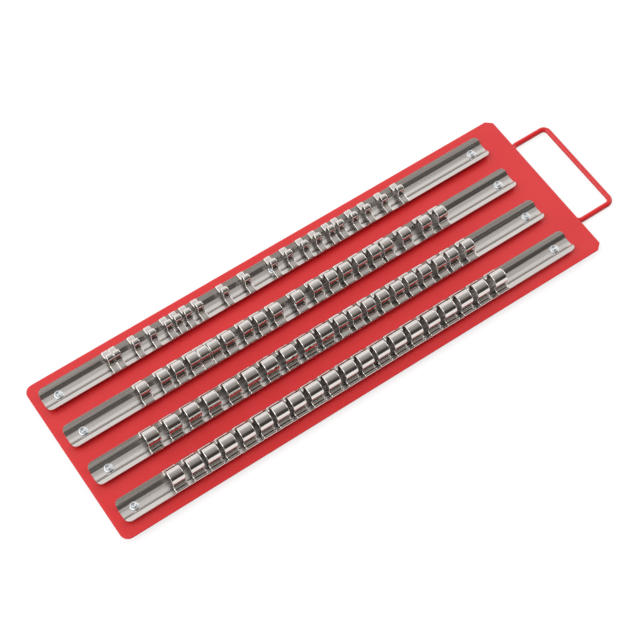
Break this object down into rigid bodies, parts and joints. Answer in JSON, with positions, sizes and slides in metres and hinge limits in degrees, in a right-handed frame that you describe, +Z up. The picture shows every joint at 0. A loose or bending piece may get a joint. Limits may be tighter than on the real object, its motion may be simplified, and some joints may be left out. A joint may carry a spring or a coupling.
{
  "type": "socket organizer tray",
  "caption": "Flat red tray with riveted rails of sliding spring clips that hold sockets by their square drives, and a wire carry handle at one end.",
  "frame": {"origin": "middle of the bounding box, on the surface that the tray lies on", "axes": "+X along the rails towards the handle, +Y towards the rail of quarter inch clips, +Z up"},
  "size_m": [0.4818, 0.15, 0.0234],
  "materials": {
    "red_powder_coat": "satin powder coat",
    "bright_rail_steel": "bright rolled strip, lightly brushed along its length",
    "polished_spring_steel": "polished, with fine lines along the strip"
  },
  "bodies": {
    "tray": {"tray_plate": "red_powder_coat", "carry_handle": "red_powder_coat", "quarter_rail": "bright_rail_steel", "three_eighths_rail": "bright_rail_steel", "mixed_rail": "bright_rail_steel", "half_rail": "bright_rail_steel"},
    "quarter_clip_02": {"quarter_clip_02": "polished_spring_steel"},
    "quarter_clip_03": {"quarter_clip_03": "polished_spring_steel"},
    "quarter_clip_05": {"quarter_clip_05": "polished_spring_steel"},
    "quarter_clip_06": {"quarter_clip_06": "polished_spring_steel"},
    "quarter_clip_08": {"quarter_clip_08": "polished_spring_steel"},
    "quarter_clip_09": {"quarter_clip_09": "polished_spring_steel"},
    "quarter_clip_11": {"quarter_clip_11": "polished_spring_steel"},
    "quarter_clip_12": {"quarter_clip_12": "polished_spring_steel"},
    "quarter_clip_14": {"quarter_clip_14": "polished_spring_steel"},
    "quarter_clip_15": {"quarter_clip_15": "polished_spring_steel"},
    "quarter_clip_17": {"quarter_clip_17": "polished_spring_steel"},
    "quarter_clip_18": {"quarter_clip_18": "polished_spring_steel"},
    "quarter_clip_20": {"quarter_clip_20": "polished_spring_steel"},
    "three_eighths_clip_02": {"three_eighths_clip_02": "polished_spring_steel"},
    "three_eighths_clip_03": {"three_eighths_clip_03": "polished_spring_steel"},
    "three_eighths_clip_05": {"three_eighths_clip_05": "polished_spring_steel"},
    "three_eighths_clip_06": {"three_eighths_clip_06": "polished_spring_steel"},
    "three_eighths_clip_08": {"three_eighths_clip_08": "polished_spring_steel"},
    "three_eighths_clip_09": {"three_eighths_clip_09": "polished_spring_steel"},
    "three_eighths_clip_11": {"three_eighths_clip_11": "polished_spring_steel"},
    "three_eighths_clip_12": {"three_eighths_clip_12": "polished_spring_steel"},
    "three_eighths_clip_14": {"three_eighths_clip_14": "polished_spring_steel"},
    "three_eighths_clip_15": {"three_eighths_clip_15": "polished_spring_steel"},
    "three_eighths_clip_17": {"three_eighths_clip_17": "polished_spring_steel"},
    "three_eighths_clip_18": {"three_eighths_clip_18": "polished_spring_steel"},
    "three_eighths_clip_20": {"three_eighths_clip_20": "polished_spring_steel"},
    "mixed_clip_02": {"mixed_clip_02": "polished_spring_steel"},
    "mixed_clip_03": {"mixed_clip_03": "polished_spring_steel"},
    "mixed_clip_05": {"mixed_clip_05": "polished_spring_steel"},
    "mixed_clip_06": {"mixed_clip_06": "polished_spring_steel"},
    "mixed_clip_08": {"mixed_clip_08": "polished_spring_steel"},
    "mixed_clip_09": {"mixed_clip_09": "polished_spring_steel"},
    "mixed_clip_11": {"mixed_clip_11": "polished_spring_steel"},
    "mixed_clip_12": {"mixed_clip_12": "polished_spring_steel"},
    "mixed_clip_14": {"mixed_clip_14": "polished_spring_steel"},
    "mixed_clip_15": {"mixed_clip_15": "polished_spring_steel"},
    "mixed_clip_17": {"mixed_clip_17": "polished_spring_steel"},
    "mixed_clip_18": {"mixed_clip_18": "polished_spring_steel"},
    "mixed_clip_20": {"mixed_clip_20": "polished_spring_steel"},
    "half_clip_02": {"half_clip_02": "polished_spring_steel"},
    "half_clip_03": {"half_clip_03": "polished_spring_steel"},
    "half_clip_05": {"half_clip_05": "polished_spring_steel"},
    "half_clip_06": {"half_clip_06": "polished_spring_steel"},
    "half_clip_08": {"half_clip_08": "polished_spring_steel"},
    "half_clip_09": {"half_clip_09": "polished_spring_steel"},
    "half_clip_11": {"half_clip_11": "polished_spring_steel"},
    "half_clip_12": {"half_clip_12": "polished_spring_steel"},
    "half_clip_14": {"half_clip_14": "polished_spring_steel"},
    "half_clip_15": {"half_clip_15": "polished_spring_steel"},
    "half_clip_17": {"half_clip_17": "polished_spring_steel"},
    "half_clip_18": {"half_clip_18": "polished_spring_steel"},
    "half_clip_20": {"half_clip_20": "polished_spring_steel"}
  },
  "joints": [
    {"name": "quarter_clip_02_slide", "type": "slide", "parent": "tray", "child": "quarter_clip_02", "axis": [1, 0, 0], "range_m": [-0.0003, 0.00558]},
    {"name": "quarter_clip_03_slide", "type": "slide", "parent": "tray", "child": "quarter_clip_03", "axis": [1, 0, 0], "range_m": [-0.00558, 0.00919]},
    {"name": "quarter_clip_05_slide", "type": "slide", "parent": "tray", "child": "quarter_clip_05", "axis": [1, 0, 0], "range_m": [-0.0086, 0.00143]},
    {"name": "quarter_clip_06_slide", "type": "slide", "parent": "tray", "child": "quarter_clip_06", "axis": [1, 0, 0], "range_m": [-0.00143, 0.00326]},
    {"name": "quarter_clip_08_slide", "type": "slide", "parent": "tray", "child": "quarter_clip_08", "axis": [1, 0, 0], "range_m": [-0.00504, 0.00884]},
    {"name": "quarter_clip_09_slide", "type": "slide", "parent": "tray", "child": "quarter_clip_09", "axis": [1, 0, 0], "range_m": [-0.00884, 0.01423]},
    {"name": "quarter_clip_11_slide", "type": "slide", "parent": "tray", "child": "quarter_clip_11", "axis": [1, 0, 0], "range_m": [-0.01957, 0.0044]},
    {"name": "quarter_clip_12_slide", "type": "slide", "parent": "tray", "child": "quarter_clip_12", "axis": [1, 0, 0], "range_m": [-0.0044, 0.00949]},
    {"name": "quarter_clip_14_slide", "type": "slide", "parent": "tray", "child": "quarter_clip_14", "axis": [1, 0, 0], "range_m": [-0.00652, 0.00351]},
    {"name": "quarter_clip_15_slide", "type": "slide", "parent": "tray", "child": "quarter_clip_15", "axis": [1, 0, 0], "range_m": [-0.00351, 0.00326]},
    {"name": "quarter_clip_17_slide", "type": "slide", "parent": "tray", "child": "quarter_clip_17", "axis": [1, 0, 0], "range_m": [-0.00771, 0.00336]},
    {"name": "quarter_clip_18_slide", "type": "slide", "parent": "tray", "child": "quarter_clip_18", "axis": [1, 0, 0], "range_m": [-0.00336, 0.01067]},
    {"name": "quarter_clip_20_slide", "type": "slide", "parent": "tray", "child": "quarter_clip_20", "axis": [1, 0, 0], "range_m": [-0.01008, 0.0824]},
    {"name": "three_eighths_clip_02_slide", "type": "slide", "parent": "tray", "child": "three_eighths_clip_02", "axis": [1, 0, 0], "range_m": [-0.00929, 0.00194]},
    {"name": "three_eighths_clip_03_slide", "type": "slide", "parent": "tray", "child": "three_eighths_clip_03", "axis": [1, 0, 0], "range_m": [-0.00194, 0.00445]},
    {"name": "three_eighths_clip_05_slide", "type": "slide", "parent": "tray", "child": "three_eighths_clip_05", "axis": [1, 0, 0], "range_m": [-0.0003, 0.00022]},
    {"name": "three_eighths_clip_06_slide", "type": "slide", "parent": "tray", "child": "three_eighths_clip_06", "axis": [1, 0, 0], "range_m": [-0.00022, 0.00399]},
    {"name": "three_eighths_clip_08_slide", "type": "slide", "parent": "tray", "child": "three_eighths_clip_08", "axis": [1, 0, 0], "range_m": [-0.00698, 0.00217]},
    {"name": "three_eighths_clip_09_slide", "type": "slide", "parent": "tray", "child": "three_eighths_clip_09", "axis": [1, 0, 0], "range_m": [-0.00217, 0.00537]},
    {"name": "three_eighths_clip_11_slide", "type": "slide", "parent": "tray", "child": "three_eighths_clip_11", "axis": [1, 0, 0], "range_m": [-0.01136, 0.0039]},
    {"name": "three_eighths_clip_12_slide", "type": "slide", "parent": "tray", "child": "three_eighths_clip_12", "axis": [1, 0, 0], "range_m": [-0.0039, 0.0056]},
    {"name": "three_eighths_clip_14_slide", "type": "slide", "parent": "tray", "child": "three_eighths_clip_14", "axis": [1, 0, 0], "range_m": [-0.00422, 0.00252]},
    {"name": "three_eighths_clip_15_slide", "type": "slide", "parent": "tray", "child": "three_eighths_clip_15", "axis": [1, 0, 0], "range_m": [-0.00252, 0.00491]},
    {"name": "three_eighths_clip_17_slide", "type": "slide", "parent": "tray", "child": "three_eighths_clip_17", "axis": [1, 0, 0], "range_m": [-0.00237, 0.00436]},
    {"name": "three_eighths_clip_18_slide", "type": "slide", "parent": "tray", "child": "three_eighths_clip_18", "axis": [1, 0, 0], "range_m": [-0.00436, 0.01044]},
    {"name": "three_eighths_clip_20_slide", "type": "slide", "parent": "tray", "child": "three_eighths_clip_20", "axis": [1, 0, 0], "range_m": [-0.00652, 0.06751]},
    {"name": "mixed_clip_02_slide", "type": "slide", "parent": "tray", "child": "mixed_clip_02", "axis": [1, 0, 0], "range_m": [-0.00714, 0.003]},
    {"name": "mixed_clip_03_slide", "type": "slide", "parent": "tray", "child": "mixed_clip_03", "axis": [1, 0, 0], "range_m": [-0.003, 0.0059]},
    {"name": "mixed_clip_05_slide", "type": "slide", "parent": "tray", "child": "mixed_clip_05", "axis": [1, 0, 0], "range_m": [-0.00673, 0.0029]},
    {"name": "mixed_clip_06_slide", "type": "slide", "parent": "tray", "child": "mixed_clip_06", "axis": [1, 0, 0], "range_m": [-0.0029, 0.0059]},
    {"name": "mixed_clip_08_slide", "type": "slide", "parent": "tray", "child": "mixed_clip_08", "axis": [1, 0, 0], "range_m": [-0.0059, 0.0029]},
    {"name": "mixed_clip_09_slide", "type": "slide", "parent": "tray", "child": "mixed_clip_09", "axis": [1, 0, 0], "range_m": [-0.0029, 0.00486]},
    {"name": "mixed_clip_11_slide", "type": "slide", "parent": "tray", "child": "mixed_clip_11", "axis": [1, 0, 0], "range_m": [-0.00528, 0.00197]},
    {"name": "mixed_clip_12_slide", "type": "slide", "parent": "tray", "child": "mixed_clip_12", "axis": [1, 0, 0], "range_m": [-0.00197, 0.00424]},
    {"name": "mixed_clip_14_slide", "type": "slide", "parent": "tray", "child": "mixed_clip_14", "axis": [1, 0, 0], "range_m": [-0.00403, 0.00238]},
    {"name": "mixed_clip_15_slide", "type": "slide", "parent": "tray", "child": "mixed_clip_15", "axis": [1, 0, 0], "range_m": [-0.00238, 0.00383]},
    {"name": "mixed_clip_17_slide", "type": "slide", "parent": "tray", "child": "mixed_clip_17", "axis": [1, 0, 0], "range_m": [-0.00445, 0.00259]},
    {"name": "mixed_clip_18_slide", "type": "slide", "parent": "tray", "child": "mixed_clip_18", "axis": [1, 0, 0], "range_m": [-0.00259, 0.0032]},
    {"name": "mixed_clip_20_slide", "type": "slide", "parent": "tray", "child": "mixed_clip_20", "axis": [1, 0, 0], "range_m": [-0.00631, 0.06782]},
    {"name": "half_clip_02_slide", "type": "slide", "parent": "tray", "child": "half_clip_02", "axis": [1, 0, 0], "range_m": [-0.00509, 0.00158]},
    {"name": "half_clip_03_slide", "type": "slide", "parent": "tray", "child": "half_clip_03", "axis": [1, 0, 0], "range_m": [-0.00158, 0.00343]},
    {"name": "half_clip_05_slide", "type": "slide", "parent": "tray", "child": "half_clip_05", "axis": [1, 0, 0], "range_m": [-0.00473, 0.00213]},
    {"name": "half_clip_06_slide", "type": "slide", "parent": "tray", "child": "half_clip_06", "axis": [1, 0, 0], "range_m": [-0.00213, 0.00343]},
    {"name": "half_clip_08_slide", "type": "slide", "parent": "tray", "child": "half_clip_08", "axis": [1, 0, 0], "range_m": [-0.00362, 0.00222]},
    {"name": "half_clip_09_slide", "type": "slide", "parent": "tray", "child": "half_clip_09", "axis": [1, 0, 0], "range_m": [-0.00222, 0.00454]},
    {"name": "half_clip_11_slide", "type": "slide", "parent": "tray", "child": "half_clip_11", "axis": [1, 0, 0], "range_m": [-0.00454, 0.00176]},
    {"name": "half_clip_12_slide", "type": "slide", "parent": "tray", "child": "half_clip_12", "axis": [1, 0, 0], "range_m": [-0.00176, 0.00343]},
    {"name": "half_clip_14_slide", "type": "slide", "parent": "tray", "child": "half_clip_14", "axis": [1, 0, 0], "range_m": [-0.00436, 0.00204]},
    {"name": "half_clip_15_slide", "type": "slide", "parent": "tray", "child": "half_clip_15", "axis": [1, 0, 0], "range_m": [-0.00204, 0.00491]},
    {"name": "half_clip_17_slide", "type": "slide", "parent": "tray", "child": "half_clip_17", "axis": [1, 0, 0], "range_m": [-0.00473, 0.00204]},
    {"name": "half_clip_18_slide", "type": "slide", "parent": "tray", "child": "half_clip_18", "axis": [1, 0, 0], "range_m": [-0.00204, 0.00473]},
    {"name": "half_clip_20_slide", "type": "slide", "parent": "tray", "child": "half_clip_20", "axis": [1, 0, 0], "range_m": [-0.00602, 0.06638]}
  ]
}
